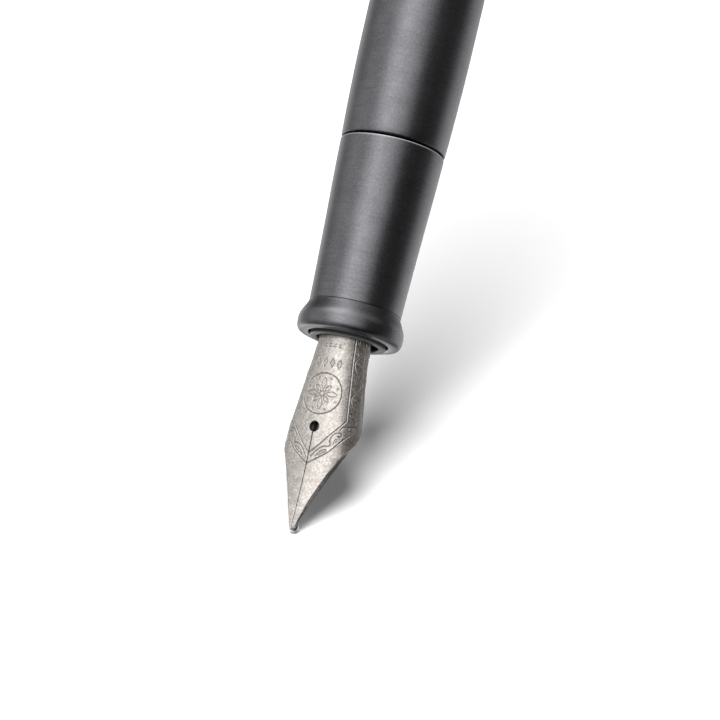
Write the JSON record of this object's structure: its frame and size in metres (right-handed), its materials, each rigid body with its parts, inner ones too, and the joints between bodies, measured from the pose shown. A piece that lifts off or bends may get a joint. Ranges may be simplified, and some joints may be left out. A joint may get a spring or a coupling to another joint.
{
  "type": "fountain pen",
  "caption": "Slim round writing pen shown uncapped: bent metal nib with slit and breather hole, finned feed, dark grip with rolled lip, tapered barrel, screw-piston ink converter inside.",
  "frame": {"origin": "on the pen's axis, in the plane of the writing point, so the lowest point of the tipping is at z = 0", "axes": "+Z along the pen's axis from the writing point to the tail; the nib's crown, slit and breather hole face -Y; X is across the nib"},
  "size_m": [0.013, 0.013, 0.134],
  "materials": {
    "nib_titanium": "matte blasted warm grey",
    "tipping_alloy": "polished",
    "black_plastic": "moulded, satin",
    "anodised_dark": "dark grey anodised, satin",
    "seal_rubber": "moulded, matt",
    "sleeve_brass": "turned",
    "clear_plastic": "clear, polished",
    "plated_metal": "bright plated",
    "grey_plastic": "moulded, satin"
  },
  "bodies": {
    "nib_unit": {"nib": "nib_titanium", "tipping_left": "tipping_alloy", "tipping_right": "tipping_alloy", "feed": "black_plastic", "nib_housing": "black_plastic"},
    "section": {"grip_section": "anodised_dark", "section_o_ring": "seal_rubber"},
    "barrel": {"barrel": "anodised_dark", "barrel_thread_sleeve": "sleeve_brass", "tail_plug": "anodised_dark"},
    "converter": {"ink_tube": "clear_plastic", "converter_ferrule": "plated_metal", "guide_bush": "grey_plastic", "retaining_ring": "plated_metal"},
    "knob": {"twist_knob": "plated_metal", "drive_spindle": "grey_plastic"},
    "piston": {"piston_rod": "grey_plastic", "piston_seal": "seal_rubber"}
  },
  "joints": [
    {"name": "section_off", "type": "slide", "parent": "nib_unit", "child": "section", "axis": [0, 0, 1], "range_m": [0, 0.012]},
    {"name": "barrel_off", "type": "slide", "parent": "section", "child": "barrel", "axis": [0, 0, 1], "range_m": [0, 0.075]},
    {"name": "converter_pull", "type": "slide", "parent": "nib_unit", "child": "converter", "axis": [0, 0, 1], "range_m": [0, 0.006]},
    {"name": "knob_turn", "type": "hinge", "parent": "converter", "child": "knob", "pos_m": [0, 0, 0.104], "axis": [0, 0, -1], "range_deg": [0, 2700]},
    {"name": "piston_travel", "type": "slide", "parent": "converter", "child": "piston", "axis": [0, 0, 1], "range_m": [0, 0.0225]}
  ],
  "couplings": [
    {"joint": "knob_turn", "follows": "piston_travel", "rad_per_m": 2094.4}
  ]
}
